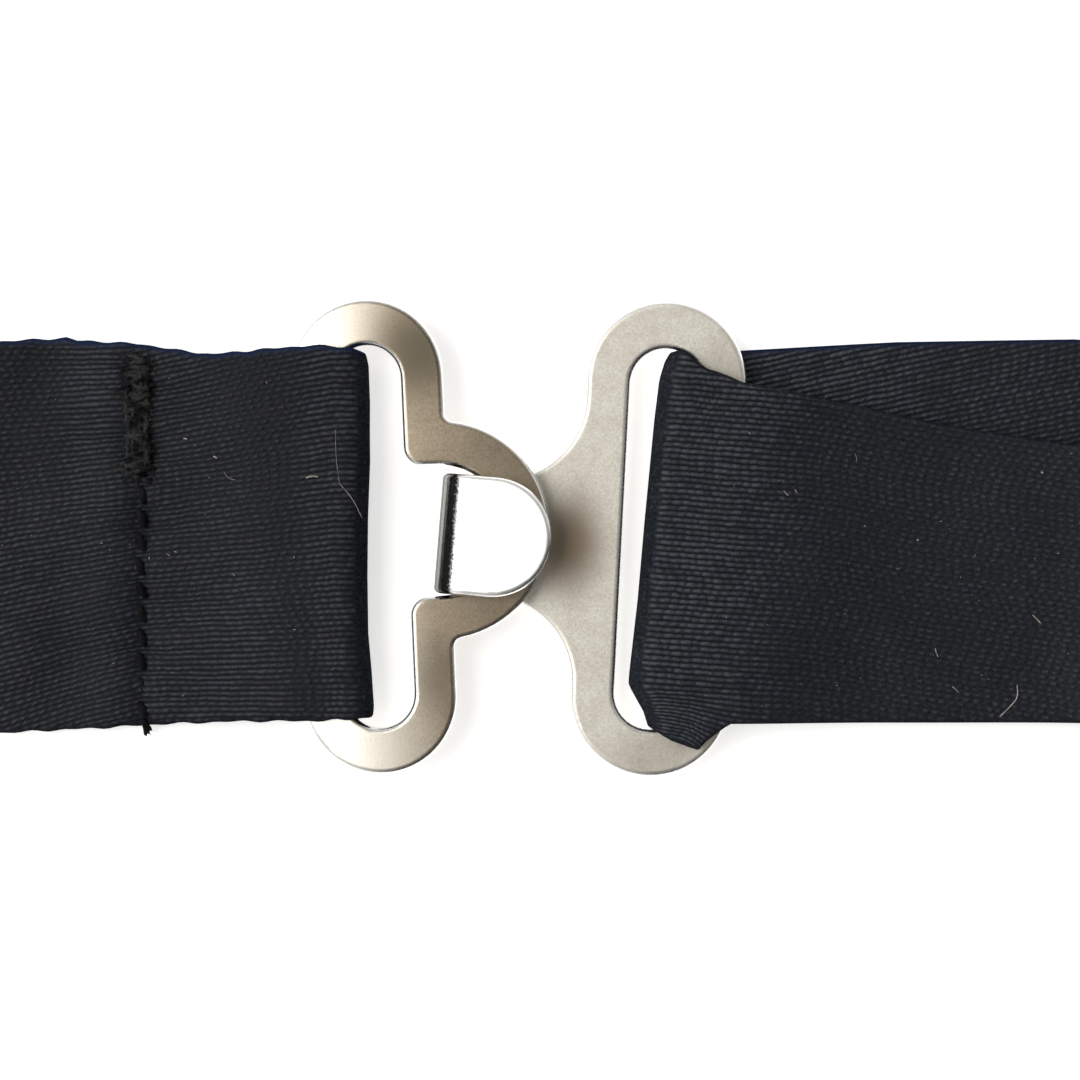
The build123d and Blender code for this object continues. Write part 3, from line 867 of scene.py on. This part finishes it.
def stitch_row(name, node, z, random):
    """Row of stitches where the CAD row lies, at the height of the cloth's top."""
    low, high = box_mm(node)
    count = int(round((high[1] - low[1] - STITCH_LENGTH) / STITCH_PITCH)) + 1
    x = (low[0] + high[0]) / 2
    ys = high[1] - FIRST_STITCH - STITCH_PITCH * np.arange(count)
    stitches = [stitch(x + random.normal(0, 0.03), y, z, random) for y in ys]
    piece = make_piece(name, *joined(stitches), MATERIALS["thread"], "black_thread")
    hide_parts(node)
    return piece


TACK_LEFT, TACK_RIGHT = TACK_LOW[0] + 0.1, TACK_HIGH[0] - 0.1
TACK_MIDDLE, TACK_HALF = (TACK_LEFT + TACK_RIGHT) / 2, (TACK_RIGHT - TACK_LEFT) / 2


def tack_width(y):
    """Width of the bar tack at a place, as a share of its full width."""
    return 1 - 0.35 * hump(y - TACK_WAIST, 0.5)


def tack_lengthwise(x, random):
    """Straight strand that the zigzag is sewn over."""
    points = []
    for y in np.linspace(TACK_LOW[1], TACK_HIGH[1], 16):
        points.append((x + random.normal(0, 0.07), y, TACK_LOW[2] + 0.04 + random.normal(0, 0.02)))
    return strand(points, 0.16, twist=9, sides=8)


def tack_crossing(y, slope, random):
    """One arched crossing of the zigzag."""
    slope = slope + random.normal(0, 0.12)
    span = TACK_HALF * tack_width(y) * random.uniform(0.8, 1.08)
    middle = TACK_MIDDLE + random.normal(0, 0.08)
    height = (0.16 + random.uniform(0, 0.2)) * (2 * tack_width(y) - 1)
    low = TACK_LOW[2] - 0.08
    points = [(middle + span * t, y + slope * t, low + height * (1 - t**4)) for t in np.linspace(-1, 1, 9)]
    return strand(points, 0.13, twist=4, sides=8)


def tack_hair(random):
    """One loose, bent fibre of the tack's fuzz."""
    y = random.uniform(TACK_LOW[1] - 0.1, TACK_HIGH[1] + 0.1)
    x = TACK_MIDDLE + random.uniform(-1, 1) * tack_width(y) * TACK_HALF
    start = np.array([x, y, TACK_LOW[2] + random.uniform(0.05, 0.2)])
    way = np.array([random.normal(0, 0.28), random.normal(0, 0.28), random.uniform(0.0, 0.14)])
    bend = np.array([random.normal(0, 0.15), random.normal(0, 0.15), 0])
    points = [start + way * t + bend * t * t for t in np.linspace(0, 1, 5)]
    return strand(points, 0.02, plies=1, twist=0, sides=4)


def bartack():
    """Dense zigzag of thread over a few straight strands, with loose fuzz."""
    random = np.random.default_rng(7)
    inset = 0.35
    crossings, hairs = 27, 420
    strands = []
    for x in np.linspace(TACK_LEFT + inset, TACK_RIGHT - inset, 4):
        strands.append(tack_lengthwise(x, random))
    for number in range(crossings):
        y = TACK_LOW[1] + (TACK_HIGH[1] - TACK_LOW[1]) * (number + 0.5) / crossings
        strands.append(tack_crossing(y, 0.22 if number % 2 else -0.16, random))
    for _ in range(hairs):
        strands.append(tack_hair(random))
    piece = make_piece("left_seam_bartack", *joined(strands), MATERIALS["tack_thread"], "black_thread")
    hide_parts("eye_seam_bartack")
    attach(piece, "left_strap")


def thread_tail():
    """Cut thread end that frays below the seam."""
    random = np.random.default_rng(11)
    low, high = box_mm("eye_seam_thread_tail")
    root = np.array([(low[0] + high[0]) / 2 - 0.1, high[1] - 0.15, low[2] - 0.3])
    thick_strands, all_strands = 6, 12
    strands = []
    for number in range(all_strands):
        reach = random.uniform(0.65, 1.0)
        spread = random.normal(0, 0.09)
        points = []
        for t in np.linspace(0, 1, 9):
            step = (0.35 * t + spread * t**1.5, -reach * t, -0.5 * t * t + 0.1 * t)
            points.append(root + np.array(step))
        radius = 0.11 if number < thick_strands else 0.03
        strands.append(strand(points, radius, plies=1, twist=1, sides=6))
    piece = make_piece("left_seam_thread_tail", *joined(strands), MATERIALS["thread"], "black_thread")
    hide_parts("eye_seam_thread_tail")
    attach(piece, "left_strap")


def make_thread():
    """All the sewing."""
    random = np.random.default_rng(3)
    row = stitch_row("left_seam_stitches", "eye_seam_stitches", LEFT_SEAM_HEIGHT, random)
    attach(row, "left_strap")
    row = stitch_row("slide_seam_thread", "slide_seam_stitches", SLIDE_SEAM_HEIGHT, random)
    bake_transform(row)
    bartack()
    thread_tail()


# ---- lint ------------------------------------------------------------------------------------


# The hairs that the photo shows: x and y of points along each, and half its thickness
LEFT_LINT = [
    ([(-10.6, 5.6), (-10.6, 4.2), (-10.4, 2.8)], 0.009),
    ([(-10.4, 2.8), (-9.7, 2.0), (-9.25, 1.0)], 0.017),
    ([(-12.15, 3.1), (-11.85, 3.2), (-11.5, 3.15)], 0.045),
    ([(-16.5, 3.4), (-16.3, 3.1), (-15.9, 3.0)], 0.012),
    ([(-18.65, 5.2), (-18.45, 5.15)], 0.04),
    ([(-17.05, 4.25), (-16.85, 4.15)], 0.04),
    ([(-19.55, -0.85), (-19.35, -0.95)], 0.03),
]
RIGHT_LINT = [
    ([(25.0, -7.7), (25.05, -8.4), (24.6, -8.9), (24.1, -9.4)], 0.035),
    ([(25.8, -4.05), (26.0, -4.25), (26.25, -4.5)], 0.04),
    ([(20.7, -5.8), (20.75, -6.05), (20.85, -6.25)], 0.03),
    ([(21.6, -7.8), (21.95, -8.1)], 0.03),
    ([(26.25, 3.45), (26.35, 3.35)], 0.05),
]
FOLD_LINT = [
    ([(12.7, 2.45), (12.85, 2.25), (12.95, 2.2)], 0.03),
    ([(13.3, 2.5), (13.4, 2.35)], 0.035),
    ([(19.75, -0.1), (19.85, -0.15)], 0.05),
    ([(16.5, 4.4), (16.6, 4.1), (16.55, 3.9)], 0.015),
]


def lint(name, over, hairs):
    """Stray hairs that lie on a strap. Each is (x and y of points along it, half its thickness)."""
    cloth = bpy.data.objects[over]
    above_all = 20 * MM
    strands = []
    for places, radius in hairs:
        points = []
        for x, y in rounded(places, 2):
            place = cloth.ray_cast((x * MM, y * MM, above_all), (0, 0, -1))[1]
            points.append((x, y, place[2] / MM + radius))
        strands.append(strand(points, radius, plies=1, twist=0, sides=5, taper=0.5))
    return make_piece(name, *joined(strands), MATERIALS["lint"], "black_thread")


def specks(low, high, count, random):
    """Short bits of fluff at chance places between two corners."""
    bits = []
    for _ in range(count):
        x, y = random.uniform(low[0], high[0]), random.uniform(low[1], high[1])
        way, length = random.uniform(0, pi), random.uniform(0.05, 0.16)
        places = [(x, y), (x + length * cos(way), y + length * sin(way))]
        bits.append((places, random.uniform(0.009, 0.022)))
    return bits


def make_lint():
    """The hairs, each laid on the cloth under it."""
    bpy.context.view_layer.update()
    random = np.random.default_rng(19)
    bits = specks((-36, -8.5), (-11, 8.5), 45, random)
    piece = lint("left_strap_lint", "left_strap_cloth", LEFT_LINT + bits)
    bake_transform(piece)
    bits = specks((8.5, -9), (19, 5.5), 18, random)
    piece = lint("right_fold_lint", "right_strap_fold", FOLD_LINT + bits)
    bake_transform(piece)
    bits = specks((20.5, -9), (29, 4.5), 14, random)
    piece = lint("right_strap_lint", "right_strap_front", RIGHT_LINT + bits)
    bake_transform(piece)


# ---- the whole -------------------------------------------------------------------------------


MATERIALS = {
    # Satin: the floats' cool and warm colours are pale as a painted sheen, and the last number paints the
    # brightness of the fold's turned-down faces
    "left_satin": satin_cloth(
        "left_satin", cool=(0.043, 0.050, 0.064), warm=(0.050, 0.053, 0.062),
        gaps=(0.0025, 0.003, 0.0047), edge_tint=(0.012, 0.020, 0.055), turned_painted_light=1.7,
    ),
    "right_satin": satin_cloth(
        "right_satin", cool=(0.065, 0.075, 0.097), warm=(0.075, 0.081, 0.093),
        gaps=(0.0027, 0.0034, 0.0057), edge_tint=(0.010, 0.016, 0.042), turned_painted_light=1.25,
    ),
    "thread": sewing_thread("thread", (0.002, 0.0021, 0.0027), (0.0085, 0.009, 0.011)),
    "tack_thread": sewing_thread("tack_thread", (0.0045, 0.0047, 0.0055), (0.040, 0.042, 0.041)),
    "lint": lint_fibre("lint"),
}

# Dark spots laid on the metals' colour: x, y, half width and half height of each spot, and how dark it is.
# On the hook plate the first is painted shade of the tongue on the neck beside its tip, the second
# painted shade where the cloth's edge lies over the plate, and the third makes the bottom arc darker.
# On the eye ring both are painted shade that darkens its bars away from the light.
HOOK_DARK_SPOTS = [(1.5, -0.3, 3.2, 4.6, 0.89), (9.8, 8.5, 2.7, 2.5, 0.3), (6.0, -11.6, 4.0, 2.6, 0.28)]
EYE_SHADE_SPOTS = [(-6.6, 9.7, 4.0, 4.4, 0.97), (-5.2, -7.2, 2.4, 3.6, 0.5)]

METAL = {
    "hook_plate": satin_nickel(
        "hook_nickel", (0.97, 0.89, 0.79), 0.55,
        tongue=(2.9, 0.14), roll=(-3.78, 1.5, 0.08), dark_spots=HOOK_DARK_SPOTS,
    ),
    "eye_ring": satin_nickel(
        # A darker base than the hook plate: painted shade, standing in for the darker reflection of the
        # tilted ring
        "eye_nickel", (0.46, 0.385, 0.29), 0.38,
        # fade paints the end nearer the light paler, a painted highlight
        fade=(-12.0, -6.0, 0.12, (1.0, 0.97, 0.9)), crown=(-8.7, 55.0), dark_spots=EYE_SHADE_SPOTS,
        spot_colour=(0.17, 0.145, 0.105),
    ),
    "adjuster_slide": satin_nickel("slide_nickel", (0.82, 0.79, 0.72), 0.5),
}

bpy.context.scene.view_settings.view_transform = "Standard"
make_camera()
make_floor()
make_world()
area_light("key", place=(-0.24, 0.04, 0.32), size=0.28, power=0.9, colour=(1.0, 0.985, 0.96))
for node, metal in METAL.items():
    frame["nodes"][node].material_slots[0].material = metal
left_strap()
fold_length = right_fold()
right_front_tail(fold_length)
right_back_tail()
make_thread()
make_lint()
